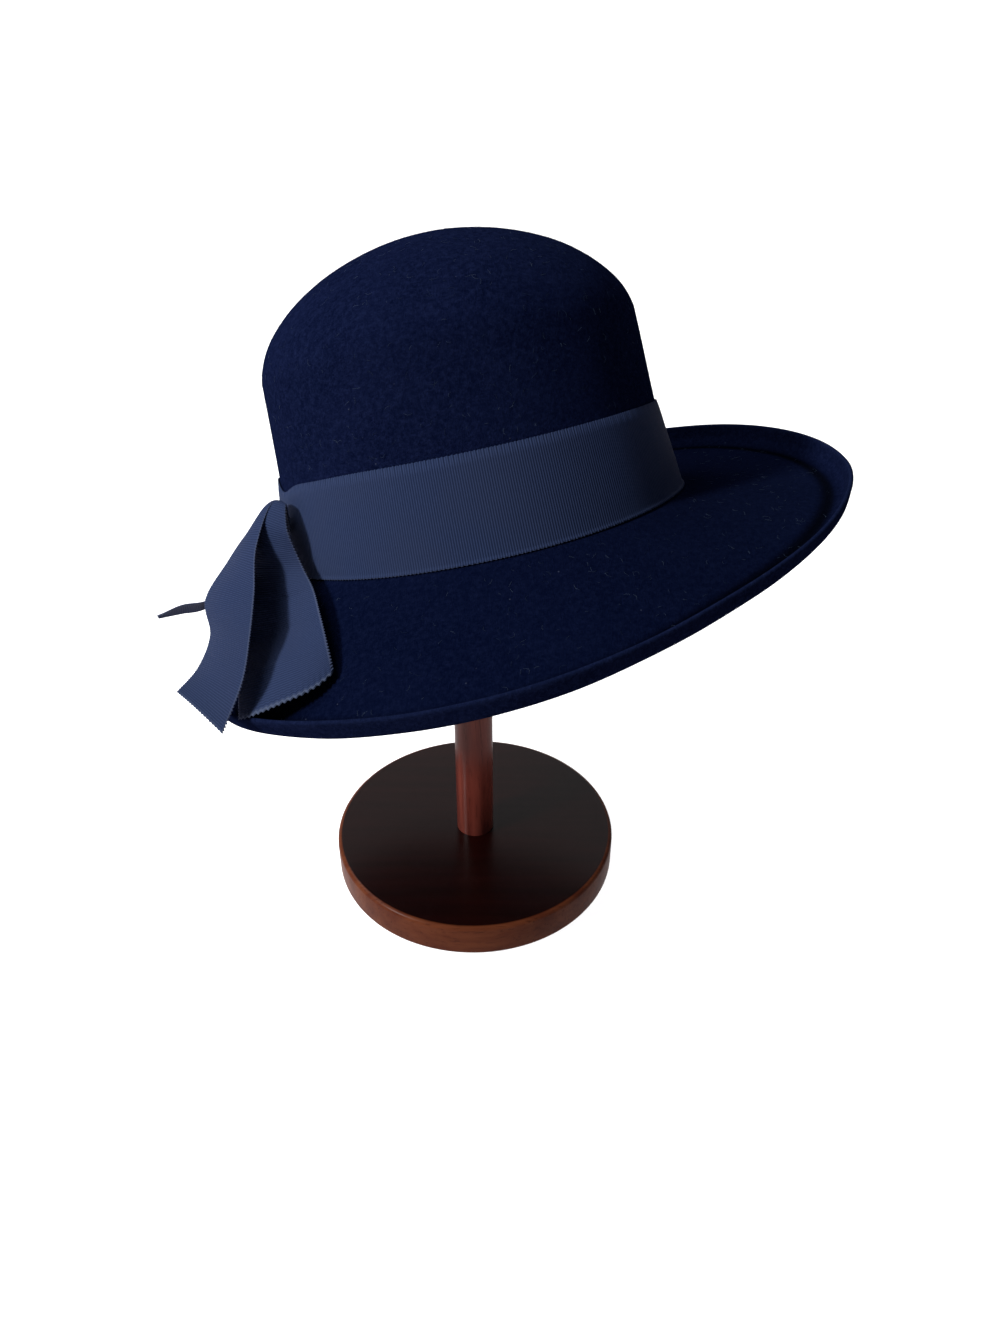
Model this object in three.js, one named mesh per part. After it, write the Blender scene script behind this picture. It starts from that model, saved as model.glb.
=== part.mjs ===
// A felt cloche hat with a ribbon band and a flat bow, resting tilted on a turned wooden stand.
// Millimetres, +Z up. The origin is the centre of the stand's underside and +X is the hat's front.

import * as THREE from 'three';
import { ParametricGeometry } from 'three/addons/geometries/ParametricGeometry.js';

// Crown of the hat, measured outside the felt at the crown's base
const crownLength = 187.4;
const crownWidth = 157.4;
const crownHeight = 133;
const shoulderHeight = 82;
const bandTaper = 6.05;
const shoulderTaper = 2.45;
const ovalSquareness = 2.13;
const domeFullness = 1.82;
const baseRise = 3;
const feltThickness = 2;
const crownCornerRadius = 5;

// Brim, measured along the felt from the crown's base
const brimWidth = 75;
const rimHeight = 11.2;
const rimTurn = 100;
const rimBendRadius = 4;

// Place of the hat on the stand
const hatForward = 7.3;
const hatSideways = -6.2;
const hatLift = 213.4;
const tiltBack = 12.1;
const tiltSide = 18.5;

// Ribbon of the band and the bow. The band reaches bandFoot below the crown's base line.
const ribbonWidth = 42.5;
const bandFoot = 1;
const bandTopRise = 1.5;
const bandCurl = 38;
const ribbonThickness = 1;
const tailLength = 112;
const rearTailLength = 84;
const bowTurn = 214;

// Wooden stand
const baseDiameter = 160;
const baseThickness = 20;
const baseEdgeRadius = 2.5;
const postDiameter = 21;
const headDiameter = 96;
const headHeight = 42;
const headEdge = 8;
const socketDepth = 12;

// Fits between pieces
const clearance = 0.3;
const seatClearance = 0.4;

// The brim changes round the hat: one row each 45 degrees from the front, turning to the hat's left.
// width is a share of brimWidth, and slope is how far the brim falls below the level, in degrees.
const brimSections = [
  { width: 0.99, slope: 10 },
  { width: 1.03, slope: -8 },
  { width: 0.98, slope: -9 },
  { width: 0.87, slope: 20 },
  { width: 0.80, slope: 57 },
  { width: 0.94, slope: 44 },
  { width: 0.96, slope: 40 },
  { width: 0.84, slope: 34 },
];

// The bow's tails are strips between two edges. Each starts flat on the band and folds outwards.
// turn is degrees from the bow's place, reach is a share of the tail's length from the band's top,
// and lift is a share of ribbonWidth above the place where a tail lies on the band.
const nearTail = {
  left: [
    { turn: 2, reach: 0.15, lift: 0 },
    { turn: 2, reach: 0.09, lift: 0.09 },
    { turn: -2.5, reach: 0.17, lift: 0.24 },
    { turn: -5.5, reach: 0.24, lift: 0.33 },
    { turn: -8, reach: 0.43, lift: 0.37 },
    { turn: -3, reach: 0.55, lift: 0.32 },
    { turn: -1, reach: 0.68, lift: 0.21 },
    { turn: 8, reach: 0.84, lift: 0.21 },
    { turn: 14, reach: 1.00, lift: 0.28 },
  ],
  right: [
    { turn: 5, reach: 0.14, lift: 0 },
    { turn: 5, reach: 0.09, lift: 0.10 },
    { turn: 8.5, reach: 0.18, lift: 0.20 },
    { turn: 9.5, reach: 0.27, lift: 0.15 },
    { turn: 12, reach: 0.33, lift: 0.15 },
    { turn: 18, reach: 0.46, lift: 0.15 },
    { turn: 23.5, reach: 0.57, lift: 0.15 },
    { turn: 27.5, reach: 0.69, lift: 0.14 },
    { turn: 30, reach: 0.78, lift: 0.15 },
  ],
  fold: -0.12,
};
const farTail = {
  left: [
    { turn: -3, reach: 0.15, lift: 0 },
    { turn: -2.5, reach: 0.09, lift: 0.14 },
    { turn: -8, reach: 0.21, lift: 0.41 },
    { turn: -12.5, reach: 0.43, lift: 0.59 },
    { turn: -10.5, reach: 0.60, lift: 0.66 },
    { turn: -3, reach: 0.73, lift: 0.51 },
    { turn: 2, reach: 0.87, lift: 0.53 },
    { turn: 5.5, reach: 0.99, lift: 0.66 },
  ],
  right: [
    { turn: 0, reach: 0.15, lift: 0 },
    { turn: 0.5, reach: 0.08, lift: 0.15 },
    { turn: 4, reach: 0.23, lift: 0.46 },
    { turn: 8.5, reach: 0.55, lift: 0.47 },
    { turn: 13.5, reach: 0.72, lift: 0.44 },
    { turn: 17, reach: 0.90, lift: 0.42 },
    { turn: 16.5, reach: 1.09, lift: 0.37 },
  ],
  fold: 0.05,
};
const rearTail = {
  left: [
    { turn: -9, reach: 0.21, lift: 0 },
    { turn: -17, reach: 0.37, lift: 0.12 },
    { turn: -26, reach: 0.57, lift: 0.33 },
    { turn: -30, reach: 0.81, lift: 0.53 },
    { turn: -29, reach: 0.93, lift: 0.73 },
    { turn: -29, reach: 0.99, lift: 0.93 },
    { turn: -28, reach: 1.05, lift: 1.14 },
  ],
  right: [
    { turn: -5, reach: 0.19, lift: 0 },
    { turn: -9, reach: 0.27, lift: 0.17 },
    { turn: -14, reach: 0.39, lift: 0.34 },
    { turn: -19, reach: 0.71, lift: 0.51 },
    { turn: -15.5, reach: 0.81, lift: 0.64 },
    { turn: -18.5, reach: 0.88, lift: 0.86 },
    { turn: -24, reach: 1.01, lift: 1.11 },
  ],
  fold: 0.02,
};

// How finely curved surfaces are faceted
const stepsAround = 60;
const domeSteps = 10;
const shoulderSteps = 2;
const wallSteps = 2;
const cornerSteps = 4;
const bandCurlSteps = 2;
const brimSteps = 5;
const bendSteps = 5;
const tailStepsAcross = 6;
const tailStepsAlong = 18;
const woodSteps = 40;
const seatSamples = 4;

// Shares of a tail: where its lengthwise fold is fully open, and half the span that finds its facing
const foldStart = 0.33;
const facingSpan = 0.02;

const felt = new THREE.MeshStandardMaterial({ color: 0x0b1030, roughness: 0.95, metalness: 0 });
const ribbon = new THREE.MeshStandardMaterial({ color: 0x1c2340, roughness: 0.7, metalness: 0 });
const wood = new THREE.MeshStandardMaterial({ color: 0x3a1710, roughness: 0.35, metalness: 0 });

const radians = THREE.MathUtils.degToRad;
const halfLength = crownLength / 2;
const halfWidth = crownWidth / 2;
const bandHeight = ribbonWidth - bandFoot;

// The brim's width and slope at an angle, on a smooth closed curve through the rows
function brimAt(angle) {
  const count = brimSections.length;
  const place = THREE.MathUtils.euclideanModulo(angle / (2 * Math.PI), 1) * count;
  const row = Math.floor(place);
  const t = place - row;
  const near = [-1, 0, 1, 2].map((step) => brimSections[(row + step + count) % count]);
  const smooth = (name) => {
    const [a, b, c, d] = near.map((section) => section[name]);
    const bend = 2 * a - 5 * b + 4 * c - d;
    const turn = -a + 3 * b - 3 * c + d;
    return 0.5 * (2 * b + (c - a) * t + bend * t * t + turn * t * t * t);
  };
  return { width: smooth('width') * brimWidth, slope: radians(smooth('slope')) };
}

// The crown's oval at an angle, for given half lengths
function ovalPoint(angle, alongHalf, acrossHalf) {
  const power = 2 / ovalSquareness;
  const x = Math.cos(angle);
  const y = Math.sin(angle);
  const along = alongHalf * Math.sign(x) * Math.abs(x) ** power;
  const across = acrossHalf * Math.sign(y) * Math.abs(y) ** power;
  return new THREE.Vector2(along, across);
}

// The level direction straight out from the crown at an angle
function outward(angle) {
  return new THREE.Vector2(Math.cos(angle) / halfLength, Math.sin(angle) / halfWidth).normalize();
}

function baseHeight(angle) {
  return baseRise * Math.cos(2 * angle);
}

// A point at a distance out and a height from the crown's base line at an angle
function fromBase(angle, out, up) {
  const base = ovalPoint(angle, halfLength, halfWidth);
  const away = outward(angle);
  return new THREE.Vector3(base.x + away.x * out, base.y + away.y * out, baseHeight(angle) + up);
}

// The band's top edge above the level of the crown's base
function bandTopAt(angle) {
  return bandHeight + bandTopRise * Math.cos(2 * angle);
}

// Points and left-hand normals of a rounded corner between two straight runs, as far as mostTurn
function roundedCorner(before, corner, after, radius, steps, mostTurn = Math.PI) {
  const arriving = corner.clone().sub(before).normalize();
  const leaving = after.clone().sub(corner).normalize();
  const turn = Math.atan2(arriving.cross(leaving), arriving.dot(leaving));
  const start = corner.clone().addScaledVector(arriving, -radius * Math.tan(Math.abs(turn) / 2));
  const side = Math.sign(turn) || 1;
  const centre = start.clone().add(new THREE.Vector2(-arriving.y, arriving.x).multiplyScalar(radius * side));
  const stations = [];
  for (let step = 0; step <= steps; step += 1) {
    const swing = (side * Math.min(Math.abs(turn), mostTurn) * step) / steps;
    const point = start.clone().rotateAround(centre, swing);
    const normal = new THREE.Vector2(-arriving.y, arriving.x).rotateAround(new THREE.Vector2(), swing);
    stations.push({ point, normal });
  }
  return stations;
}

// Stations between the last one and the next, on a straight run
function straightRun(last, next, steps) {
  const stations = [];
  for (let step = 1; step < steps; step += 1) {
    const point = last.point.clone().lerp(next.point, step / steps);
    stations.push({ point, normal: last.normal });
  }
  return stations;
}

// Corners of the felt's middle line below the band's top: the wall's two ends, the rim's foot and its tip
function lineCorners(angle) {
  const { width, slope } = brimAt(angle);
  const fall = new THREE.Vector2(Math.cos(slope), -Math.sin(slope));
  const rise = new THREE.Vector2(Math.cos(radians(rimTurn) - slope), Math.sin(radians(rimTurn) - slope));
  const top = new THREE.Vector2(-bandTaper - feltThickness / 2, bandTopAt(angle) - baseHeight(angle));
  const corner = new THREE.Vector2(-feltThickness / 2, 0);
  const bend = corner.clone().addScaledVector(fall, width + feltThickness);
  const tip = bend.clone().addScaledVector(rise, rimHeight);
  return { top, corner, bend, tip };
}

// The felt's middle line below the band's top: down the wall, out along the brim and up the rim
function lowerLine(angle) {
  const { top, corner, bend, tip } = lineCorners(angle);
  const foot = roundedCorner(top, corner, bend, crownCornerRadius, cornerSteps);
  const curl = roundedCorner(corner, bend, tip, rimBendRadius, bendSteps);
  const start = { point: top, normal: foot[0].normal };
  const end = { point: tip, normal: curl[bendSteps].normal };
  return [
    start,
    ...straightRun(start, foot[0], wallSteps),
    ...foot,
    ...straightRun(foot[cornerSteps], curl[0], brimSteps),
    ...curl,
    end,
  ];
}

// The part of that line under the ribbon, whose lower edge bends outwards by bandCurl at most
function bandLine(angle) {
  const { top, corner, bend } = lineCorners(angle);
  const foot = roundedCorner(top, corner, bend, crownCornerRadius, bandCurlSteps, radians(bandCurl));
  const start = { point: top, normal: foot[0].normal };
  return [start, ...straightRun(start, foot[0], wallSteps), ...foot];
}

// A point of the crown above the band, at a share of the way from the band's top to the dome's pole
function crownPoint(angle, station, offset) {
  if (station < shoulderSteps) {
    const share = station / shoulderSteps;
    const inset = bandTaper + shoulderTaper * share + feltThickness / 2 - offset;
    const oval = ovalPoint(angle, halfLength - inset, halfWidth - inset);
    return new THREE.Vector3(oval.x, oval.y, THREE.MathUtils.lerp(bandTopAt(angle), shoulderHeight, share));
  }
  const swing = ((station - shoulderSteps) / domeSteps) * (Math.PI / 2);
  const spread = Math.max(Math.cos(swing), 0) ** (2 / domeFullness);
  const climb = Math.sin(swing) ** (2 / domeFullness);
  const inset = bandTaper + shoulderTaper + feltThickness / 2 - offset;
  const oval = ovalPoint(angle, (halfLength - inset) * spread, (halfWidth - inset) * spread);
  const domeHeight = crownHeight - feltThickness / 2 + offset - shoulderHeight;
  return new THREE.Vector3(oval.x, oval.y, shoulderHeight + domeHeight * climb);
}

const crownStations = shoulderSteps + domeSteps;

// The felt: from the inner pole down the inside, round the rim's edge and up the outside
function feltGeometry() {
  const lowerCount = lowerLine(0).length;
  const sideCount = crownStations + lowerCount;
  const half = feltThickness / 2;
  const lines = [];
  for (let step = 0; step <= stepsAround; step += 1) {
    lines.push(lowerLine((step / stepsAround) * 2 * Math.PI));
  }
  const surface = (u, v, target) => {
    const step = Math.round(u * stepsAround);
    const angle = ((step % stepsAround) / stepsAround) * 2 * Math.PI;
    const row = Math.round(v * (2 * sideCount - 1));
    const outside = row >= sideCount;
    const fromPole = outside ? 2 * sideCount - 1 - row : row;
    const offset = outside ? half : -half;
    if (fromPole < crownStations) {
      target.copy(crownPoint(angle, crownStations - fromPole, offset));
      return;
    }
    const { point, normal } = lines[step % stepsAround][fromPole - crownStations];
    target.copy(fromBase(angle, point.x + normal.x * offset, point.y + normal.y * offset));
  };
  return new ParametricGeometry(surface, stepsAround, 2 * sideCount - 1);
}

// The band follows the felt's wall and the start of the corner, a clearance away from it
function bandGeometry() {
  const rows = wallSteps + 1 + bandCurlSteps;
  const innerOffset = feltThickness / 2 + clearance;
  const surface = (u, v, target) => {
    const step = Math.round(u * stepsAround) % stepsAround;
    const angle = (step / stepsAround) * 2 * Math.PI;
    const row = Math.round(v * 2 * rows) % (2 * rows);
    const outside = row >= rows;
    const { point, normal } = bandLine(angle)[outside ? 2 * rows - 1 - row : row];
    const offset = innerOffset + (outside ? ribbonThickness : 0);
    target.copy(fromBase(angle, point.x + normal.x * offset, point.y + normal.y * offset));
  };
  return new ParametricGeometry(surface, stepsAround, 2 * rows);
}

// A point over the hat's outer surface: distance down from the band's top and lift off the felt
function overHat(turn, distance, lift) {
  const angle = radians(bowTurn + turn);
  const pastBase = distance - bandHeight;
  const { slope } = brimAt(angle);
  const wallLean = Math.atan2(bandTaper, bandHeight);
  const onWall = pastBase < 0;
  const out = onWall ? (bandTaper * pastBase) / bandHeight : pastBase * Math.cos(slope);
  const up = onWall ? -pastBase : -pastBase * Math.sin(slope);
  const blend = THREE.MathUtils.smoothstep(pastBase, -crownCornerRadius, crownCornerRadius);
  const wallNormal = new THREE.Vector2(Math.cos(wallLean), Math.sin(wallLean));
  const brimNormal = new THREE.Vector2(Math.sin(slope), Math.cos(slope));
  const normal = wallNormal.lerp(brimNormal, blend).normalize();
  return fromBase(angle, out + normal.x * lift, up + normal.y * lift);
}

// How far over the felt a tail's middle lies where the tail rests on the band
const tailSeat = clearance + ribbonThickness + clearance + ribbonThickness / 2;

// A ribbon tail: a thin closed strip between its two edges, with a lengthwise fold between them
function tailGeometry(tail, length) {
  const edge = (rows) => {
    const points = rows.map(({ turn, reach, lift }) => (
      overHat(turn, reach * length, tailSeat + lift * ribbonWidth)
    ));
    return new THREE.CatmullRomCurve3(points, false, 'centripetal');
  };
  const leftEdge = edge(tail.left);
  const rightEdge = edge(tail.right);
  const middle = (across, along) => {
    const left = leftEdge.getPoint(along);
    const right = rightEdge.getPoint(along);
    const ahead = leftEdge.getTangent(along).add(rightEdge.getTangent(along));
    const face = right.clone().sub(left).cross(ahead).normalize();
    const depth = tail.fold * ribbonWidth * Math.sin(Math.PI * across) * Math.min(along / foldStart, 1);
    return left.lerp(right, across).addScaledVector(face, -depth);
  };
  const facing = (across, along) => {
    const low = THREE.MathUtils.clamp(across - facingSpan, 0, 1);
    const back = THREE.MathUtils.clamp(along - facingSpan, 0, 1);
    const acrossWay = middle(Math.min(low + 2 * facingSpan, 1), along).sub(middle(low, along));
    const alongWay = middle(across, Math.min(back + 2 * facingSpan, 1)).sub(middle(across, back));
    return acrossWay.cross(alongWay).normalize();
  };
  const round = 2 * (tailStepsAcross + 1);
  const lastRow = tailStepsAlong + 2;
  const surface = (u, v, target) => {
    const place = Math.round(u * round) % round;
    const top = place <= tailStepsAcross;
    const across = (top ? place : round - 1 - place) / tailStepsAcross;
    const row = Math.round(v * lastRow);
    const along = THREE.MathUtils.clamp((row - 1) / tailStepsAlong, 0, 1);
    const capped = row === 0 || row === lastRow;
    const half = capped ? 0 : (top ? 0.5 : -0.5) * ribbonThickness;
    target.copy(middle(across, along)).addScaledVector(facing(across, along), half);
    if (capped) {
      const ahead = leftEdge.getTangent(along).add(rightEdge.getTangent(along)).normalize();
      target.addScaledVector(ahead, (row === 0 ? -0.5 : 0.5) * ribbonThickness);
    }
  };
  return new ParametricGeometry(surface, round, lastRow);
}

// A turned piece from its outline, given as pairs of radius and height
function turned(outline) {
  const points = outline.map(([radius, height]) => new THREE.Vector2(radius, height));
  return new THREE.LatheGeometry(points, woodSteps).rotateX(Math.PI / 2);
}

function quarterRound(centreRadius, centreHeight, radius, fromDegrees, steps) {
  const points = [];
  for (let step = 0; step <= steps; step += 1) {
    const angle = radians(fromDegrees + (90 * step) / steps);
    points.push([centreRadius + radius * Math.cos(angle), centreHeight + radius * Math.sin(angle)]);
  }
  return points;
}

function baseGeometry() {
  const rim = baseDiameter / 2 - baseEdgeRadius;
  const socket = postDiameter / 2 + clearance;
  return turned([
    [0, 0],
    ...quarterRound(rim, baseEdgeRadius, baseEdgeRadius, -90, 3),
    ...quarterRound(rim, baseThickness - baseEdgeRadius, baseEdgeRadius, 0, 3),
    [socket, baseThickness],
    [socket, baseThickness - socketDepth],
    [0, baseThickness - socketDepth],
  ]);
}

// Height of the head's rounded top above its underside at a radius
function headTopAt(radius) {
  const share = Math.min(radius / (headDiameter / 2), 1);
  return headEdge + (headHeight - headEdge) * Math.sqrt(1 - share * share);
}

function headGeometry() {
  const steps = 12;
  const socket = postDiameter / 2 + clearance;
  const outline = [[0, socketDepth], [socket, socketDepth], [socket, 0]];
  for (let step = 0; step <= steps; step += 1) {
    const radius = (headDiameter / 2) * Math.cos((step / steps) * (Math.PI / 2));
    outline.push([radius, headTopAt(radius)]);
  }
  return turned(outline);
}

function named(name, geometry, material) {
  const mesh = new THREE.Mesh(geometry, material);
  mesh.name = name;
  return mesh;
}

const part = new THREE.Group();
const hat = new THREE.Group();
hat.position.set(hatForward, hatSideways, hatLift);
hat.rotation.set(-radians(tiltSide), -radians(tiltBack), 0, 'YXZ');

const feltHat = named('felt_hat', feltGeometry(), felt.clone());
hat.add(feltHat);
hat.add(named('ribbon_band', bandGeometry(), ribbon.clone()));
hat.add(named('bow_tail_near', tailGeometry(nearTail, tailLength), ribbon.clone()));
hat.add(named('bow_tail_far', tailGeometry(farTail, tailLength), ribbon.clone()));
hat.add(named('bow_tail_rear', tailGeometry(rearTail, rearTailLength), ribbon.clone()));
part.add(hat);
part.updateMatrixWorld(true);

// How high the head's underside may stand so that its top rests just under the crown's felt.
// Each triangle of the felt is tested at evenly spread points.
function seatHeight() {
  const points = feltHat.geometry.getAttribute('position');
  const order = feltHat.geometry.getIndex();
  const corner = (index) => new THREE.Vector3().fromBufferAttribute(points, order.getX(index));
  const point = new THREE.Vector3();
  let lowest = Infinity;
  for (let first = 0; first < order.count; first += 3) {
    const [a, b, c] = [0, 1, 2].map((step) => corner(first + step).applyMatrix4(feltHat.matrixWorld));
    for (let i = 0; i <= seatSamples; i += 1) {
      for (let j = 0; j <= seatSamples - i; j += 1) {
        point.copy(a).multiplyScalar(1 - (i + j) / seatSamples);
        point.addScaledVector(b, i / seatSamples).addScaledVector(c, j / seatSamples);
        const radius = Math.hypot(point.x, point.y);
        if (radius < headDiameter / 2 && point.z > hatLift) {
          lowest = Math.min(lowest, point.z - headTopAt(radius));
        }
      }
    }
  }
  return lowest - seatClearance;
}

const headSeat = seatHeight();
const postBottom = baseThickness - socketDepth + clearance;
const postTop = headSeat + socketDepth - clearance;

part.add(named('stand_base', baseGeometry(), wood.clone()));
const post = named('stand_post', new THREE.CylinderGeometry(
  postDiameter / 2,
  postDiameter / 2,
  postTop - postBottom,
  woodSteps,
).rotateX(Math.PI / 2), wood.clone());
post.position.z = (postTop + postBottom) / 2;
part.add(post);
const head = named('stand_head', headGeometry(), wood.clone());
head.position.z = headSeat;
part.add(head);

export default part;
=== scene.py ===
# %% [markdown]
# # A felt cloche hat on its wooden stand
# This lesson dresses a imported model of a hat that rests, tipped, on a turned wooden stand.
# The model's solids stay as they are. Each is replaced by a finer surface in the same place,
# worked out with numpy and finished with a material made of nodes.

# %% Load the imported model
import bpy
import numpy as np
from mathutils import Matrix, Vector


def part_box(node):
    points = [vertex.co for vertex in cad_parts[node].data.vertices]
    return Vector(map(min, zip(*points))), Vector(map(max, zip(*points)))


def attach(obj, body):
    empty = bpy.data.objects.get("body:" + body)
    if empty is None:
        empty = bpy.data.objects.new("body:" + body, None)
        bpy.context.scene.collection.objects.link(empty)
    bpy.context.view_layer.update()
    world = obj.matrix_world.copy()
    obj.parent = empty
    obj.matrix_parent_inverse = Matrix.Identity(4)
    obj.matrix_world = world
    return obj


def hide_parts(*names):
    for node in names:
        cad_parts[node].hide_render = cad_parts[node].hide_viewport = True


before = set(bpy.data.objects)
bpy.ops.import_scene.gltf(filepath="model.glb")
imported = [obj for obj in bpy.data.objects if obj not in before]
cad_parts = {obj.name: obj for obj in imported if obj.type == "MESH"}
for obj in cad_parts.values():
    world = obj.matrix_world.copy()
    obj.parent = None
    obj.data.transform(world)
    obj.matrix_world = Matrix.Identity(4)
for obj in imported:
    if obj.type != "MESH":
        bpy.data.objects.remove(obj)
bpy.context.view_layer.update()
MM = 0.001
print("solids:", ", ".join(sorted(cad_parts)))

# %% [markdown]
# ## The camera
# The photograph looks down on the brim from a little above the crown's top, from close by.
# A camera could be aimed with a constraint, but a plain position and one tilt are easier to
# read. The lens is given for a tall frame, so the sensor's height is the side that counts.

# %% The camera
camera = bpy.data.objects.new("camera", bpy.data.cameras.new("camera"))
bpy.context.collection.objects.link(camera)
camera.data.sensor_fit = "VERTICAL"
camera.data.sensor_height = 36
camera.data.lens = 27.007
camera.data.clip_start = 0.01
camera.location = np.array([14.5, -436.6, 424.3]) * MM
camera.rotation_euler = (np.radians(56.12), 0, 0)
bpy.context.scene.camera = camera
bpy.context.scene.view_settings.view_transform = "Standard"
print("camera height:", round(camera.location.z, 3), "m")

# %% [markdown]
# ## Putting a grid of points into a mesh
# Every new surface here is a grid: rows and columns of points from a formula. Blender could
# build it point by point, but whole arrays are quicker and shorter. Faces join neighbouring
# points, and a direction that runs round joins its last line to its first.

# %% Faces of a grid
def grid_faces(rows, columns, round_rows=False, round_columns=False, first=0):
    """Corners of each face: (r, c), (r, c + 1), (r + 1, c + 1), (r + 1, c), counted along the rows."""
    r, c = np.meshgrid(
        np.arange(rows - (not round_rows)), np.arange(columns - (not round_columns)), indexing="ij"
    )
    r2, c2 = (r + 1) % rows, (c + 1) % columns
    corners = [r * columns + c, r * columns + c2, r2 * columns + c2, r2 * columns + c]
    return np.stack(corners, axis=-1).reshape(-1, 4) + first


# %% A mesh from arrays
def new_piece(name, points, faces, corner_uv=None, marks=None):
    """A smooth object from points in metres and faces of equal size, with an optional UV per corner."""
    mesh = bpy.data.meshes.new(name)
    mesh.vertices.add(len(points))
    mesh.vertices.foreach_set("co", np.ascontiguousarray(points, dtype=np.float32).ravel())
    sizes = np.concatenate([np.full(len(block), block.shape[1]) for block in faces])
    mesh.loops.add(int(sizes.sum()))
    mesh.loops.foreach_set("vertex_index", np.concatenate([block.ravel() for block in faces]))
    mesh.polygons.add(len(sizes))
    mesh.polygons.foreach_set("loop_start", np.concatenate([[0], np.cumsum(sizes)[:-1]]))
    mesh.polygons.foreach_set("use_smooth", np.ones(len(sizes), dtype=bool))
    mesh.update(calc_edges=True)
    if corner_uv is not None:
        layer = mesh.uv_layers.new(name="cloth")
        layer.uv.foreach_set("vector", np.ascontiguousarray(corner_uv, dtype=np.float32).ravel())
    for mark, values in (marks or {}).items():
        mesh.attributes.new(mark, "FLOAT", "POINT").data.foreach_set("value", values.astype(np.float32))
    mesh.validate()
    piece = bpy.data.objects.new(name, mesh)
    bpy.context.collection.objects.link(piece)
    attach(piece, "root")
    print(name, "has", int((sizes - 2).sum()), "triangles")
    return piece


# %% [markdown]
# ## The floor
# Studio paper hangs behind the object and curves forward under it, so that no line shows
# where the wall meets the floor. A plane and a wall would need that line hidden, so here one
# outline of floor, quarter circle and wall is carried sideways.

# %% The paper sweep
SWEEP_FRONT, SWEEP_FOOT, SWEEP_RADIUS, SWEEP_TOP, SWEEP_HALF_WIDTH = -6.0, 5.0, 2.0, 9.0, 9.0
sweep_turn = np.linspace(0, np.pi / 2, 24)
sweep_y = np.concatenate([
    [SWEEP_FRONT], SWEEP_FOOT + SWEEP_RADIUS * np.sin(sweep_turn), [SWEEP_FOOT + SWEEP_RADIUS]
])
sweep_z = np.concatenate([[0.0], SWEEP_RADIUS - SWEEP_RADIUS * np.cos(sweep_turn), [SWEEP_TOP]])
sweep_x = np.linspace(-SWEEP_HALF_WIDTH, SWEEP_HALF_WIDTH, 5)
paper_points = np.stack([
    np.repeat(sweep_x, len(sweep_y)), np.tile(sweep_y, len(sweep_x)), np.tile(sweep_z, len(sweep_x))
], axis=-1)
floor = new_piece("paper_sweep", paper_points, [grid_faces(len(sweep_x), len(sweep_y))[:, ::-1]])

# %% [markdown]
# ## Writing materials as sums
# A node tree is easier to read as arithmetic. A Signal stands for one socket, so `1 - grain`
# adds the Math node it needs, and a Finish holds the material that the nodes belong to.
# Colours go through its mix, because a Math node would turn them grey.

# %% Signals
class Signal:
    """One output of a node, which can stand in sums with numbers and other signals."""

    def __init__(self, finish, node, output=0):
        self.finish, self.node, self.output = finish, node, output

    def socket(self):
        return self.node.outputs[self.output]

    def other(self, output):
        return Signal(self.finish, self.node, output)

    def math(self, operation, *values):
        sockets = dict(enumerate(values))
        return self.finish.node("Math", {"operation": operation}, sockets)

    def __add__(self, value):
        return self.math("ADD", self, value)

    def __radd__(self, value):
        return self.math("ADD", value, self)

    def __sub__(self, value):
        return self.math("SUBTRACT", self, value)

    def __rsub__(self, value):
        return self.math("SUBTRACT", value, self)

    def __mul__(self, value):
        return self.math("MULTIPLY", self, value)

    def __rmul__(self, value):
        return self.math("MULTIPLY", value, self)

    def sine(self):
        return self.math("SINE", self)

    def larger(self, value):
        return self.math("MAXIMUM", self, value)

    def between(self, low, high):
        """0 below low and 1 above high, with a soft step between them."""
        settings = {"interpolation_type": "SMOOTHSTEP"}
        return self.finish.node("MapRange", settings, {"Value": self, "From Min": low, "From Max": high})


# %% Finishes
class Finish:
    """A material or a world being mixed, with one method that adds any node."""

    def __init__(self, name, kind=bpy.data.materials):
        self.owner = kind.new(name)
        self.owner.use_nodes = True
        self.tree = self.owner.node_tree
        self.tree.nodes.clear()

    def node(self, kind, settings=None, sockets=None, output=0):
        """Adds a node: its settings first, then each socket's value or link. Gives one output back."""
        made = self.tree.nodes.new("ShaderNode" + kind)
        for name, value in (settings or {}).items():
            setattr(made, name, value)
        for name, value in (sockets or {}).items():
            if isinstance(value, Signal):
                self.tree.links.new(value.socket(), made.inputs[name])
            else:
                made.inputs[name].default_value = value
        return Signal(self, made, output)

    def mix(self, share, low, high):
        """A colour between low and high."""
        colours = {6: (*low, 1) if isinstance(low, tuple) else low,
                   7: (*high, 1) if isinstance(high, tuple) else high}
        return self.node("Mix", {"data_type": "RGBA"}, {0: share, **colours}, output=2)

    def stretched(self, where, turn, size):
        """The place on the object, turned and then scaled by size along each way."""
        return self.node("Mapping", None, {"Vector": where, "Rotation": turn, "Scale": size})

    def noise(self, where, scale, detail=2.0, roughness=0.5):
        """A cloudy noise between 0 and 1, finer with a larger scale."""
        sockets = {"Vector": where, "Scale": scale, "Detail": detail, "Roughness": roughness}
        return self.node("TexNoise", None, sockets)

    def bump(self, height, strength, distance):
        """Raised and sunken surface: the height, its strength from 0 to 1, and its depth in metres."""
        return self.node("Bump", None, {"Height": height, "Strength": strength, "Distance": distance})

    def shade(self, **sockets):
        """Ends the material with the main shader, whose sockets are given with _ for spaces."""
        named = {name.replace("_", " "): value for name, value in sockets.items()}
        shader = self.node("BsdfPrincipled", None, named)
        self.node("OutputMaterial", None, {"Surface": shader})
        print(self.owner.name, "has", len(self.tree.nodes), "nodes")
        return self.owner


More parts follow.
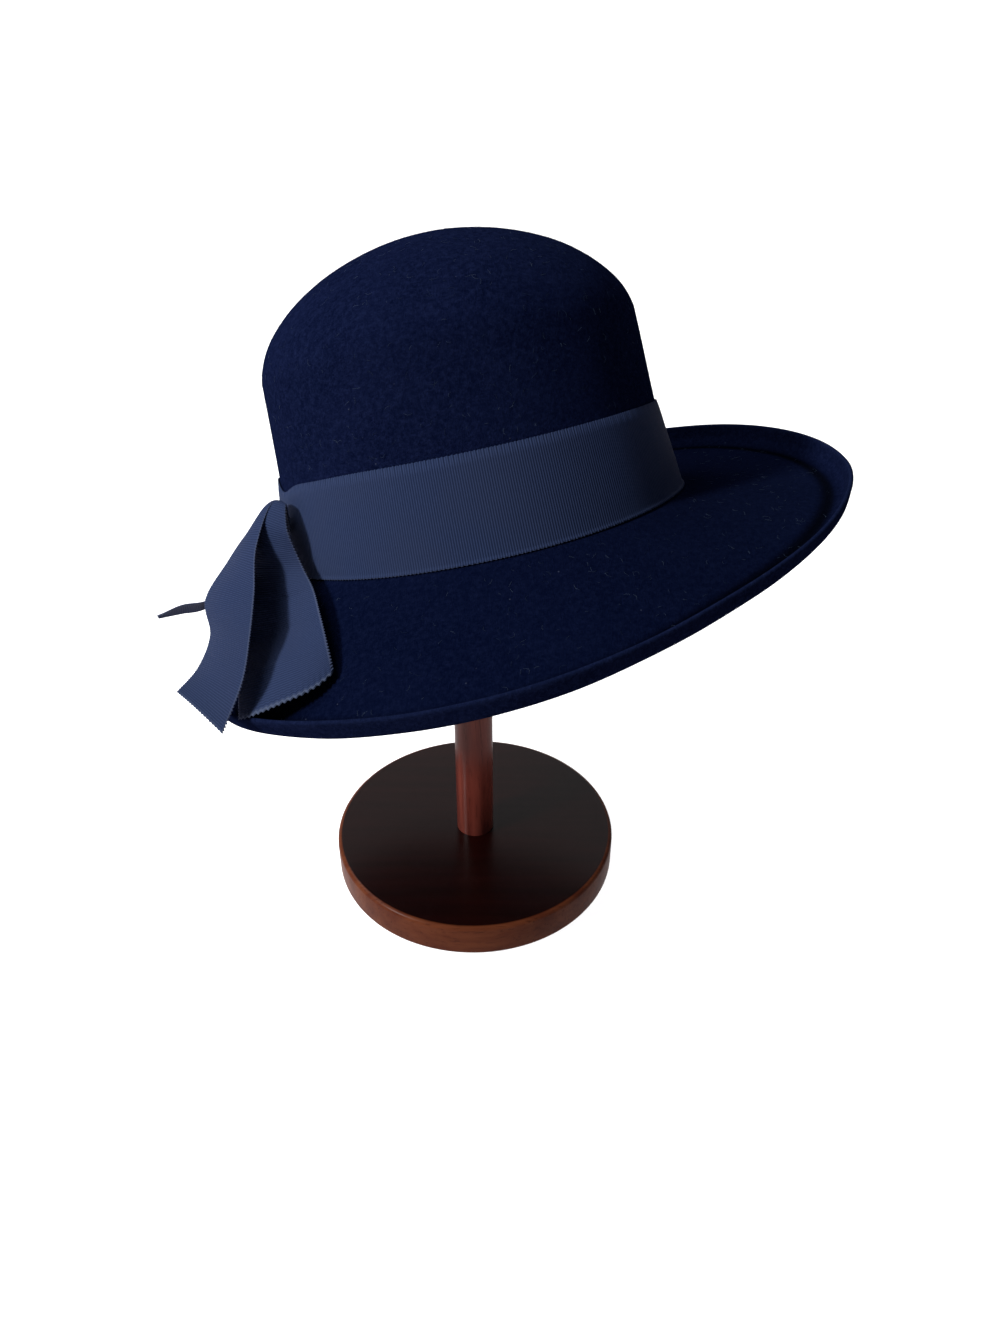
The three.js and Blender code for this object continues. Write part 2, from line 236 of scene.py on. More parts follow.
# %% [markdown]
# White paper throws a lot of light back up, which would wash out a dark hat's underside. A
# photographer sets black cards round the object. Here the Light Path node does their work:
# the camera sees white paper, and the light that goes on to the object comes off darker paper.
# Varnished wood reflects a little of the white.

# %% The floor's paper
paper = Finish("paper")
paper_fibres = paper.noise(paper.node("TexCoord", output="Object"), scale=90.0, detail=4.0)
seen_paper = paper.node("BsdfDiffuse", None, {
    "Color": paper.mix(paper_fibres, (0.93, 0.93, 0.93), (0.97, 0.97, 0.97)),
})
card_paper = paper.node("BsdfDiffuse", None, {"Color": (0.28, 0.245, 0.245, 1)})
WHITE_IN_REFLECTIONS = 0.22
ray = paper.node("LightPath", output="Is Camera Ray")
as_seen = ray.larger(ray.other("Is Glossy Ray") * WHITE_IN_REFLECTIONS)
both = paper.node("MixShader", None, {0: as_seen, 1: card_paper, 2: seen_paper})
paper.node("OutputMaterial", None, {"Surface": both})
floor.data.materials.append(paper.owner)

# %% [markdown]
# ## The shape of the hat
# The hat is blocked felt: steamed over a wooden block, so it's a smooth oval everywhere. Its
# shape is one line, from the brim's rim to the top of the crown, that changes slowly with
# the angle round the head. A spin would give a circle, so the line is worked out anew at each
# angle instead. Lengths here are in millimetres, in the hat's own level frame, front to +X.

# %% The hat's measures
CROWN_LENGTH, CROWN_WIDTH, CROWN_HEIGHT, SHOULDER_HEIGHT = 187.4, 157.4, 133.0, 82.0
BAND_TAPER, SHOULDER_TAPER, OVAL_SQUARENESS, DOME_FULLNESS, BASE_RISE = 6.05, 2.45, 2.13, 1.82, 3.0
FELT_THICKNESS, CORNER_RADIUS = 2.0, 5.0
BRIM_WIDTH, RIM_HEIGHT, RIM_TURN = 75.0, 11.2, np.radians(100)
RIBBON_WIDTH, BAND_HEIGHT, BAND_TOP_RISE, BAND_CURL, CLEARANCE = 42.5, 41.5, 1.5, np.radians(38), 0.3
HAT_PLACE = np.array([7.3, -6.2, 213.4])
TILT_BACK, TILT_SIDE = np.radians(12.1), np.radians(18.5)
# The brim each 45 degrees from the front, turning to the hat's left: width share and fall in degrees
BRIM_WIDTHS = np.array([0.99, 1.03, 0.98, 0.87, 0.80, 0.94, 0.96, 0.84]) * BRIM_WIDTH
BRIM_SLOPES = np.radians([10, -8, -9, 20, 57, 44, 40, 34])
# The rim at the same places: it rolls up softly in front, and stands up from a sharp foot elsewhere
RIM_LEANS = np.array([3.5, 4.5, 4.0, 2.0, 0.0, 0.0, 0.0, 0.0])
RIM_RADII = np.array([7.0, 7.0, 4.5, 3.0, 3.0, 3.0, 3.0, 6.0])

# %% Round the head
def brim_at(angle):
    """The brim's width and fall and the rim's lean and radius: cubics through the rows either side."""
    place = (np.asarray(angle) / (2 * np.pi)) % 1 * 8
    row = np.floor(place).astype(int)
    t = place - row

    def smooth(rows):
        a, b, c, d = (rows[(row + step) % 8] for step in (-1, 0, 1, 2))
        bend, turn = 2 * a - 5 * b + 4 * c - d, -a + 3 * b - 3 * c + d
        return 0.5 * (2 * b + (c - a) * t + bend * t**2 + turn * t**3)

    return smooth(BRIM_WIDTHS), smooth(BRIM_SLOPES), smooth(RIM_LEANS), smooth(RIM_RADII)


def oval(angle, along_half, across_half):
    """A slightly squared oval: each half length times the sign and a power of the cosine or sine."""
    power = 2 / OVAL_SQUARENESS
    x, y = np.cos(angle), np.sin(angle)
    return along_half * np.sign(x) * np.abs(x) ** power, across_half * np.sign(y) * np.abs(y) ** power


def from_base(angle, out, up):
    """Points out from the crown's base line, square to a plain ellipse there, and up from it."""
    base_x, base_y = oval(angle, CROWN_LENGTH / 2, CROWN_WIDTH / 2)
    away_x, away_y = np.cos(angle) / CROWN_LENGTH, np.sin(angle) / CROWN_WIDTH
    length = np.hypot(away_x, away_y)
    height = BASE_RISE * np.cos(2 * angle) + up
    return np.stack(np.broadcast_arrays(
        base_x + away_x / length * out, base_y + away_y / length * out, height
    ), axis=-1)


def on_stand(points):
    """Tips the hat sideways and then back, lifts it onto the stand and turns millimetres to metres."""
    s, t = TILT_SIDE, TILT_BACK
    side = np.array([[1, 0, 0], [0, np.cos(s), np.sin(s)], [0, -np.sin(s), np.cos(s)]])
    back = np.array([[np.cos(t), 0, -np.sin(t)], [0, 1, 0], [np.sin(t), 0, np.cos(t)]])
    return (points @ (back @ side).T + HAT_PLACE) * MM


# %% [markdown]
# ## The felt
# From the band's top down, the line is a wall, a small rounded corner, the long brim and a
# turned-up rim. Plane geometry with complex numbers keeps the corners short: out is the real
# part, up is the imaginary one, and a turn is one multiplication.

# %% A rounded corner
def rounded_corner(before, corner, after, radius, steps, most_turn=np.pi):
    """An arc that touches both straight runs: its start turned about its centre, with left normals."""
    arriving = (corner - before) / np.abs(corner - before)
    leaving = (after - corner) / np.abs(after - corner)
    turn = np.angle(leaving / arriving)
    start = corner - arriving * radius * np.tan(np.abs(turn) / 2)
    centre = start + 1j * arriving * radius * np.sign(turn)
    reach = np.sign(turn) * np.minimum(np.abs(turn), most_turn)
    swing = np.exp(1j * reach * np.linspace(0, 1, steps + 1)[:, None])
    return centre + (start - centre) * swing, 1j * arriving * swing


def straight(first, last, steps):
    """Points evenly spaced after the first and before the last."""
    return first + (last - first) * (np.arange(1, steps) / steps)[:, None]


def line_corners(angle):
    """Corners of the felt's middle line below the band's top: the wall's ends, the rim's foot and tip."""
    width, slope, lean, _ = brim_at(angle)
    height = BAND_HEIGHT + (BAND_TOP_RISE - BASE_RISE) * np.cos(2 * angle)
    top = -BAND_TAPER - FELT_THICKNESS / 2 + 1j * height
    corner = -FELT_THICKNESS / 2 + 0j * slope
    bend = corner + np.exp(-1j * slope) * (width + FELT_THICKNESS)
    tip = bend + np.exp(1j * (RIM_TURN - slope)) * (RIM_HEIGHT - FELT_THICKNESS / 2)
    return top, corner, bend - np.exp(-1j * slope) * lean, tip


def lower_line(angle, steps=(12, 10, 40, 10, 7)):
    """The felt's middle line below the band's top: wall, corner, brim, bend and rim, with normals."""
    wall, foot_steps, brim, curl_steps, rim = steps
    top, corner, bend, tip = line_corners(angle)
    foot, foot_normals = rounded_corner(top, corner, bend, CORNER_RADIUS, foot_steps)
    curl, curl_normals = rounded_corner(corner, bend, tip, brim_at(angle)[3], curl_steps)
    line = np.concatenate([
        top[None], straight(top, foot[0], wall), foot, straight(foot[-1], curl[0], brim),
        curl, straight(curl[-1], tip, rim), tip[None],
    ])
    normals = np.concatenate([
        np.repeat(foot_normals[:1], wall, 0), foot_normals, np.repeat(foot_normals[-1:], brim - 1, 0),
        curl_normals, np.repeat(curl_normals[-1:], rim, 0),
    ])
    return line, normals


# %% The crown above the band
def crown_rows(angle, offset, shoulder_steps=9, dome_steps=46):
    """From the dome's pole down: an oval that shrinks by powers of cosine and sine, then the wall."""
    inset = BAND_TAPER + SHOULDER_TAPER + FELT_THICKNESS / 2 - offset
    swing = (np.arange(dome_steps, -1, -1) / dome_steps * np.pi / 2)[:, None]
    spread = np.clip(np.cos(swing), 0, 1) ** (2 / DOME_FULLNESS)
    dome_x, dome_y = oval(angle, (CROWN_LENGTH / 2 - inset) * spread, (CROWN_WIDTH / 2 - inset) * spread)
    rise = CROWN_HEIGHT - FELT_THICKNESS / 2 + offset - SHOULDER_HEIGHT
    dome_z = SHOULDER_HEIGHT + rise * np.sin(swing) ** (2 / DOME_FULLNESS) + 0 * angle
    share = 1 - np.arange(1, shoulder_steps)[:, None] / shoulder_steps
    inset = BAND_TAPER + SHOULDER_TAPER * share + FELT_THICKNESS / 2 - offset
    wall_x, wall_y = oval(angle, CROWN_LENGTH / 2 - inset, CROWN_WIDTH / 2 - inset)
    band_top = BAND_HEIGHT + BAND_TOP_RISE * np.cos(2 * angle)
    wall_z = band_top + (SHOULDER_HEIGHT - band_top) * share
    return np.concatenate([
        np.stack([dome_x, dome_y, dome_z], axis=-1), np.stack([wall_x, wall_y, wall_z], axis=-1)
    ])


# %% [markdown]
# Real felt isn't as exact as its block: steam and handling leave slow waves of a few tenths
# of a millimetre. A Displace modifier could add them, but a sum of sines in angle and height
# moves both sides of the felt together, so its thickness stays even and the band still fits.

# %% Waves from handling
WAVE_SIZE, CROWN_RADIUS = 0.16, 95.0
WAVES_START, WAVES_GROW_OVER = 0.42, 0.3


def hand_waves(angle, rows):
    """Slow waves: a sum of sines of the angle, whose phases drift with the row."""
    row = np.linspace(0, 1, rows)[:, None]
    waves = (np.sin(3 * angle + 9 * row) + 0.7 * np.sin(5 * angle - 14 * row + 1.3)
             + 0.5 * np.sin(11 * angle + 23 * row + 0.4) + 0.35 * np.sin(19 * angle - 31 * row))
    return WAVE_SIZE * waves


# %% [markdown]
# Where the rim was pressed up, its foot keeps a crease that looks like a dark line round the
# brim. The dark line is painted shade in the felt's colour, and colour alone would make it flat,
# so the upper side also sinks there, by a bell curve of the row.

# %% One side of the felt
CREASE_DEPTH, CREASE_ROW, CREASE_ROWS_WIDE = 0.7, 62, 2.2


def felt_side(angle, offset):
    """The crown's rows, then the lower line moved square to itself by offset, waves and groove.

    The waves fade to nothing at the pole and under the band.
    """
    line, normals = lower_line(angle)
    row = np.arange(len(line))[:, None]
    past_band = np.clip((row / (len(line) - 1) - WAVES_START) / WAVES_GROW_OVER, 0, 1) ** 2
    groove = CREASE_DEPTH * np.exp(-((row - CREASE_ROW) / CREASE_ROWS_WIDE) ** 2) * (offset > 0)
    shifted = line + normals * (offset - groove + hand_waves(angle, len(line)) * past_band)
    crown = crown_rows(angle, offset)
    calm = np.sin(np.pi * np.linspace(0, 1, len(crown)))[:, None].clip(0) ** 0.6
    push = 1 + hand_waves(angle, len(crown)) * calm / CROWN_RADIUS
    crown = crown * np.stack([push, push, 1 + 0 * push], axis=-1)
    return np.concatenate([crown, from_base(angle, shifted.real, shifted.imag)])


def felt_lip(angle, steps=5):
    """The rounded edge of the rim: half a circle about the tip, from the inside round to the outside."""
    line, normals = lower_line(angle)
    ahead = -1j * normals[-1]
    turn = (np.arange(1, steps) / steps * np.pi - np.pi / 2)[:, None]
    wave = hand_waves(angle, len(line))[-1]
    half = FELT_THICKNESS / 2
    edge = line[-1] + normals[-1] * wave + half * (normals[-1] * np.sin(turn) + ahead * np.cos(turn))
    return from_base(angle, edge.real, edge.imag)


# %% [markdown]
# The shell runs from the inner pole down the inside, round the rim's lip and back up the
# outside. Each pole is one point, joined to the ring next to it by a fan of triangles. Three
# marks go with the points for the finish: the rim's lip, rubbed and with a painted highlight;
# the brim's top, with painted shade; and the crease, with painted shade.

# %% The felt shell
columns = 288
angles = np.arange(columns) / columns * 2 * np.pi
crown_length_in_rows = len(crown_rows(angles[:1], 0))
inside = felt_side(angles, -FELT_THICKNESS / 2)
outside = felt_side(angles, FELT_THICKNESS / 2)
lip = felt_lip(angles)
felt_rows = np.concatenate([inside[1:], lip, outside[:0:-1]])
poles = np.array([inside[0].mean(axis=0), outside[0].mean(axis=0)])
side = np.arange(columns)
next_side = (side + 1) % columns
last_ring = (len(felt_rows) - 1) * columns
fans = np.concatenate([
    np.stack([np.zeros_like(side), next_side + 2, side + 2], axis=-1),
    np.stack([np.ones_like(side), side + last_ring + 2, next_side + last_ring + 2], axis=-1),
])
place_in_side = np.concatenate([
    np.arange(1, len(inside)), np.full(len(lip), len(inside)), np.arange(len(outside) - 1, 0, -1)
])
on_top = np.arange(len(felt_rows)) >= len(inside) + len(lip) - 1
line_row = place_in_side - crown_length_in_rows
WORN_AND_HIGHLIT_ROWS = 3
# Marks per row: the lip's wear with a painted highlight, painted shade on the brim's top, and painted
# shade in the crease.
row_marks = {
    "worn_and_highlit": np.clip(1 - np.abs(place_in_side - len(inside)) / WORN_AND_HIGHLIT_ROWS, 0, 1),
    "brim_painted_shade": np.interp(line_row, [14, 24, 60, 64, 70], [0, 1, 1, 0.5, 0.2]) * on_top,
    "crease_painted_shade": np.interp(
        line_row - CREASE_ROW, [-3.5, -1.5, 0.5, 2.5, 8], [0, 1, 1, 0.35, 0.1]
    ) * on_top,
}
felt_marks = {mark: np.concatenate([[0, 0], np.repeat(rows, columns)]) for mark, rows in row_marks.items()}
print("rows of the felt's line:", len(inside) - crown_length_in_rows)
felt_hat = new_piece(
    "felt_hat_shell", on_stand(np.concatenate([poles, felt_rows.reshape(-1, 3)])),
    [grid_faces(len(felt_rows), columns, round_columns=True, first=2), fans],
    marks=felt_marks,
)
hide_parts("felt_hat")

# %% [markdown]
# Felt is matted wool or fur fibre, so close up it's a tangle of short curls with paler hairs
# lying on it, and it has no shine of its own. One texture would look printed, so the nap is a
# stack of noises: a slow one for uneven dye, a finer mottle, and two drawn out and crossed for
# the fibres. Sheen gives the soft bloom that short hairs show where the surface turns away.

# %% The felt's finish
felt = Finish("navy_felt")
place = felt.node("TexCoord", output="Object")
drift = felt.noise(place, 34.0, 3.0, 0.6)
mottle = felt.noise(place, 460.0, 5.0, 0.75)
curls = felt.noise(felt.stretched(place, (0.4, 0.9, 0.2), (1900.0, 520.0, 900.0)), 1.0, 3.0, 0.65)
crossed = felt.noise(felt.stretched(place, (1.3, 0.2, 1.1), (560.0, 1700.0, 1000.0)), 1.0, 3.0, 0.65)
fibres = curls.larger(crossed).between(0.38, 0.78)
flecks = felt.node("TexVoronoi", {"feature": "F1"}, {"Vector": place, "Scale": 210.0})
pale_hairs = (1 - flecks.between(0.03, 0.1)) * felt.noise(place, 130.0, 1.0).between(0.6, 0.66)
worn_and_highlit, brim_painted_shade, crease_painted_shade = (
    felt.node("Attribute", {"attribute_name": mark}, output="Fac") for mark in row_marks
)
dyed = felt.mix(drift.between(0.3, 0.7), (0.0016, 0.0036, 0.0190), (0.0030, 0.0056, 0.0260))
napped = felt.mix(fibres * 0.6 + mottle.between(0.40, 0.66) * 0.5, dyed, (0.0100, 0.0160, 0.0560))
# Painted shade: the brim's top is darkened in the colour to stand for light it doesn't get.
brim_shaded = felt.mix(brim_painted_shade * 0.5, napped, (0.0005, 0.0018, 0.0110))
# Painted shade: the crease and the rim's inner face are darkened in the colour as if in shadow.
crease_shaded = felt.mix(crease_painted_shade * 0.92, brim_shaded, (0.0003, 0.0005, 0.0020))
# The rubbed lip is partly wear and partly a painted highlight along the rim's top edge.
rubbed_and_highlit = felt.mix(worn_and_highlit * 0.2, crease_shaded, (0.0150, 0.0230, 0.0620))
felt_colour = felt.mix(pale_hairs * 0.6, rubbed_and_highlit, (0.0600, 0.0720, 0.1200))
nap = felt.bump(fibres + mottle * 0.6 + pale_hairs * 0.5, 0.55, 0.0006)
felt_hat.data.materials.append(felt.shade(
    Base_Color=felt_colour, Roughness=0.95, Normal=nap,
    Specular_IOR_Level=0.0, Sheen_Weight=0.012, Sheen_Roughness=0.4, Sheen_Tint=(0.35, 0.5, 1.0, 1),
))

# %% [markdown]
# Dark felt picks up lint: short pale hairs that lie on the nap in every direction. They could be
# painted into the colour, but a hair has a lit side and stands in outline at the hat's edge, so
# each is a curved three-sided thread of a few faces, all of them in one mesh.

# %% Lint on the felt
LINT_COUNT, LINT_RADIUS, LINT_LIFT = 1300, 0.034, 0.12
POLE_ROWS, HIDDEN_ROWS, RIM_ROWS = slice(None, 2), slice(55, 80), slice(118, None)


def lint_threads(surface, count=LINT_COUNT, stations=6):
    """Arcs on the surface: a place, plus s along a chance direction, plus a bend times s squared."""
    chance = np.random.default_rng(7)
    down = np.gradient(surface, axis=0)
    around = (np.roll(surface, -1, axis=1) - np.roll(surface, 1, axis=1)) / 2
    normal = np.cross(down, around)
    size = np.linalg.norm(normal, axis=-1)
    size[POLE_ROWS] = size[HIDDEN_ROWS] = size[RIM_ROWS] = 0
    spots = chance.choice(size.size, count, p=(size / size.sum()).ravel())
    centre, up, first = (grid.reshape(-1, 3)[spots] for grid in (surface, normal, around))
    up = up / np.linalg.norm(up, axis=1, keepdims=True)
    first = first / np.linalg.norm(first, axis=1, keepdims=True)
    second = np.cross(up, first)
    turn = chance.uniform(0, 2 * np.pi, (count, 1))
    ahead = first * np.cos(turn) + second * np.sin(turn)
    aside = np.cross(up, ahead)
    s = np.linspace(-1, 1, stations)[None, :, None] * chance.uniform(0.5, 1.7, (count, 1, 1))
    bend = chance.normal(0, 0.35, (count, 1, 1))
    lift = LINT_LIFT + 0.05 * s**2 * chance.uniform(0, 1, (count, 1, 1))
    path = centre[:, None] + ahead[:, None] * s + aside[:, None] * bend * s**2 + up[:, None] * lift
    round_turn = np.arange(3) / 3 * 2 * np.pi
    cosine, sine = np.cos(round_turn)[None, :, None], np.sin(round_turn)[None, :, None]
    ring = aside[:, None] * cosine + up[:, None] * sine
    points = path[:, :, None] + ring[:, None] * LINT_RADIUS
    start = (np.arange(count) * stations * 3)[:, None, None]
    sides = (grid_faces(stations, 3, round_columns=True)[None] + start).reshape(-1, 4)
    last = (stations - 1) * 3
    caps = (np.array([[0, 2, 1], [last, last + 1, last + 2]])[None] + start).reshape(-1, 3)
    return points.reshape(-1, 3), [sides, caps]


lint_points, lint_faces = lint_threads(outside)
lint = new_piece("felt_lint_threads", on_stand(lint_points), lint_faces)

# %% The lint's finish
lint_finish = Finish("pale_lint")
lint_tone = lint_finish.noise(lint_finish.node("TexCoord", output="Object"), scale=60.0)
lint.data.materials.append(lint_finish.shade(
    Base_Color=lint_finish.mix(lint_tone.between(0.35, 0.65), (0.02, 0.035, 0.075), (0.085, 0.12, 0.19)),
    Roughness=0.9, Specular_IOR_Level=0.1,
))

# %% [markdown]
# ## The ribbon
# Millinery ribbon is woven with thick cross ribs, and its weft turns back at each edge in a
# row of tiny loops. The ribs are finer than any mesh should be, so they're a bump that follows
# the cloth's own UV map, in metres along and across. The loops show in outline, so they're
# real: the edge swings out by a fraction of a millimetre at each.

# %% The ribbon's measures
RIBBON_THICKNESS, EDGE_THICKNESS, TAIL_THICKNESS, TAIL_EDGE_THICKNESS = 0.8, 0.32, 0.6, 0.28
LOOP_PITCH, LOOP_DEPTH, RIB_PITCH, TOOTH_PITCH = 1.4, 0.9, 1.02, 2.3


def loops(distance):
    """How far the woven edge swings out: the size of a sine, so that each loop is one hump."""
    return LOOP_DEPTH * (np.abs(np.sin(np.pi * distance / LOOP_PITCH)) - 0.5)


# %% [markdown]
# ## The hat band
# The band lies flat against the crown's foot. It could be a strip wrapped with a Shrinkwrap
# modifier, but the felt's line is known, so the band is that same line moved outwards and
# given a front, a back and two woven edges.

# %% The band's top edge
def gathered_by(angle):
    """How far the bow's stitches pull the top edge down: a wide and a narrow bell curve of the angle."""
    degrees = np.degrees(angle)
    wide = 1.6 * np.exp(-((degrees - 222) / 16) ** 2)
    narrow = 4.5 * np.exp(-((degrees - 208) / 8) ** 2)
    return wide + narrow


# %% The band's ring
BAND_LOOPS, BAND_LOOP_DEPTH, BAND_STEPS = 352, 0.35, 9


def band_ring(steps_per_loop=5):
    """The felt's line moved out, walked down the inside and up the outside, with looped edges."""
    count = BAND_LOOPS * steps_per_loop
    angle = np.arange(count) / count * 2 * np.pi
    top, corner, bend, _ = line_corners(angle)
    foot, foot_normals = rounded_corner(top, corner, bend, CORNER_RADIUS, 5, BAND_CURL)
    line = np.concatenate([top[None], straight(top, foot[0], BAND_STEPS), foot])
    normals = np.concatenate([np.repeat(foot_normals[:1], BAND_STEPS, 0), foot_normals])
    line = line + normals * (FELT_THICKNESS / 2 + CLEARANCE + RIBBON_THICKNESS / 2)
    upright = (line[0] - line[BAND_STEPS]) / np.abs(line[0] - line[BAND_STEPS])
    share = (np.arange(BAND_STEPS, -1, -1) / BAND_STEPS)[:, None]
    line[:BAND_STEPS + 1] -= gathered_by(angle) * upright * share
    swing = BAND_LOOP_DEPTH * (np.abs(np.sin(BAND_LOOPS * angle / 2)) - 0.5)
    line[0] += swing * 1j
    line[-1] += -1j * normals[-1] * swing
    half = np.full((len(line), 1), RIBBON_THICKNESS / 2)
    half[[0, -1]] = EDGE_THICKNESS / 2
    section = np.concatenate([line - normals * half, (line + normals * half)[::-1]])
    return angle, section


band_angle, band_section = band_ring()
band_points = from_base(band_angle, band_section.real, band_section.imag)
band_rows, band_columns = band_section.shape
band_steps = np.diff(band_points[-1], axis=0, append=band_points[-1][:1])
band_along = np.concatenate([[0], np.cumsum(np.hypot(band_steps[:, 0], band_steps[:, 1]))]) * MM
band_across = np.abs(np.linspace(-1, 1, band_rows + 1)) * RIBBON_WIDTH * MM
band_faces = grid_faces(band_rows, band_columns, True, True)
row_of, column_of = np.divmod(grid_faces(band_rows + 1, band_columns + 1), band_columns + 1)
band_uv = np.stack([band_along[column_of], band_across[row_of]], axis=-1)
hat_band = new_piece("ribbon_band_cloth", on_stand(band_points.reshape(-1, 3)),
                     [band_faces], corner_uv=band_uv)
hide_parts("ribbon_band")

# %% [markdown]
# ## The bow's tails
# The bow is three cut ends of the same ribbon, sewn flat at the band's top and left to fold
# outwards. Each is the surface between two edges: smooth curves through a few places given
# by the turn round the head, the reach down from the band's top and the lift off the felt.
# A cloth simulation would find a fold of its own, so the photographed folds are worked out.

# %% Places over the hat
BOW_TURN, TAIL_LENGTH, REAR_LENGTH, TAIL_SEAT = 214.0, 112.0, 84.0, 2.1


def over_hat(turn, distance, lift):
    """A place by its turn, distance down from the band's top and lift square to the felt there."""
    angle = np.radians(BOW_TURN + turn)
    past_base = distance - BAND_HEIGHT
    slope = brim_at(angle)[1]
    lean = np.arctan2(BAND_TAPER, BAND_HEIGHT)
    on_wall = past_base < 0
    out = np.where(on_wall, BAND_TAPER * past_base / BAND_HEIGHT, past_base * np.cos(slope))
    up = np.where(on_wall, -past_base, -past_base * np.sin(slope))
    t = np.clip((past_base + CORNER_RADIUS) / (2 * CORNER_RADIUS), 0, 1)
    t = t * t * (3 - 2 * t)
    normal = (np.cos(lean) + 1j * np.sin(lean)) * (1 - t) + (np.sin(slope) + 1j * np.cos(slope)) * t
    normal = normal / np.abs(normal)
    return from_base(angle, out + normal.real * lift, up + normal.imag * lift)


def smooth_curve(points, t):
    """A curve through the points, whose knots are spaced by the square root of their distances."""
    points = np.vstack([2 * points[0] - points[1], points, 2 * points[-1] - points[-2]])
    place = np.clip(t, 0, 1) * (len(points) - 3)
    first = np.minimum(place.astype(int), len(points) - 4)
    w = (place - first)[:, None]
    a, b, c, d = (points[first + step] for step in range(4))
    gap = [np.sqrt(np.linalg.norm(q - p, axis=1))[:, None] for p, q in ((a, b), (b, c), (c, d))]
    leave = ((b - a) / gap[0] - (c - a) / (gap[0] + gap[1]) + (c - b) / gap[1]) * gap[1]
    arrive = ((c - b) / gap[1] - (d - b) / (gap[1] + gap[2]) + (d - c) / gap[2]) * gap[1]
    square, cube = -3 * b + 3 * c - 2 * leave - arrive, 2 * b - 2 * c + leave + arrive
    return b + leave * w + square * w**2 + cube * w**3


# %% A tail's surface
def tail_surface(left, right, length, folds, crest, across, along):
    """Edge to edge lines, bent between them by half a sine whose crest is shifted sideways by a power."""
    edges = []
    for rows in (left, right):
        turn, reach, lift = (np.array(rows[column]) for column in ("turn", "reach", "lift"))
        edges.append(smooth_curve(over_hat(turn, reach * length, TAIL_SEAT + lift * RIBBON_WIDTH), along))
    left, right = edges
    face = np.cross(right - left, np.gradient(left + right, axis=0))
    face /= np.linalg.norm(face, axis=1, keepdims=True)
    place = np.interp(along, np.linspace(0, 1, len(crest)), crest)[:, None]
    ridge = np.sin(np.pi * across[None] ** (np.log(0.5) / np.log(place)))
    depth = np.interp(along, np.linspace(0, 1, len(folds)), folds)[:, None] * RIBBON_WIDTH * ridge
    level = left[:, None] + (right - left)[:, None] * across[None, :, None]
    return level - face[:, None] * depth[..., None]


# %% A tail's sides and end
END_PART, TEETH_PART = 0.3, 0.05


def trimmed(middle, across, along, tooth_depth, bulge, curl):
    """The surface with looped sides and an end that is rounded, curled and pinked, and its normals.

    The sides swing across the cloth by its loops. Each change to the end is a way along the cloth or
    square to it, times a share that grows from 0 to 1 over the last part of the length.
    """
    down = np.gradient(middle, axis=0)
    step = np.linalg.norm(down, axis=-1, keepdims=True)
    ahead = down / step
    sideways = np.gradient(middle, axis=1)
    sideways /= np.linalg.norm(sideways, axis=-1, keepdims=True)
    swing = loops(np.cumsum(step[..., 0], axis=0))
    middle[:, -1] += sideways[:, -1] * swing[:, -1:]
    middle[:, 0] -= sideways[:, 0] * swing[:, :1]
    last_part = np.clip((along - 1 + END_PART) / END_PART, 0, 1)[:, None, None] ** 2
    rounded = (1 - np.abs(2 * across - 1) ** 3)[None, :, None]
    near_end = np.clip((along - 1 + TEETH_PART) / TEETH_PART, 0, 1)[:, None, None]
    teeth = np.abs((across * RIBBON_WIDTH / TOOTH_PITCH) % 1 - 0.5) * 2 - 0.5
    middle += ahead * last_part * rounded * bulge
    middle += np.cross(sideways, ahead) * last_part * curl
    middle += ahead * near_end * (tooth_depth * teeth)[None, :, None]
    normal = np.cross(sideways, down)
    return middle, normal / np.linalg.norm(normal, axis=-1, keepdims=True), step


# %% A tail of ribbon
FULL_TOOTH = 1.6


def ribbon_tail(name, node, left, right, length, folds, crest, tooth_depth, bulge=0, curl=0):
    """A closed strip: the trimmed surface moved out by half a thickness to a front and a back."""
    across, along = np.linspace(0, 1, 67), np.linspace(0, 1, 380)
    surface = tail_surface(left, right, length, folds, crest, across, along)
    middle, normal, step = trimmed(surface, across, along, tooth_depth, bulge, curl)
    half = np.full(middle.shape[:2] + (1,), TAIL_THICKNESS / 2)
    half[:, [0, -1]] = half[[0, -1]] = TAIL_EDGE_THICKNESS / 2
    ring = np.concatenate([middle + normal * half, (middle - normal * half)[:, ::-1]], axis=1)
    rows, count = ring.shape[:2]
    i = np.arange(len(across) - 1)
    end = np.stack([i, i + 1, count - 2 - i, count - 1 - i], axis=-1)
    corners = np.concatenate([
        grid_faces(rows, count, round_columns=True), end[:, ::-1], end + (rows - 1) * count
    ])
    place_across = np.concatenate([across, across[::-1]]) * RIBBON_WIDTH * MM
    place_along = np.cumsum(step.mean(axis=1)[:, 0]) * MM
    uv = np.stack([place_along[corners // count], place_across[corners % count]], axis=-1)
    cut = np.repeat(np.clip((along - 0.988) / 0.008, 0, 1), count) * tooth_depth / FULL_TOOTH
    piece = new_piece(name, on_stand(ring.reshape(-1, 3)), [corners], corner_uv=uv, marks={"cut": cut})
    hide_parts(node)
    return piece


# %% [markdown]
# The near tail lies on the brim, and turns its pinked end to the camera. It is folded inwards
# along its upper half and bulges lower down, so its folds change sign on the way. Turns are in
# degrees from the bow, reaches are shares of the length and lifts shares of the ribbon's width.

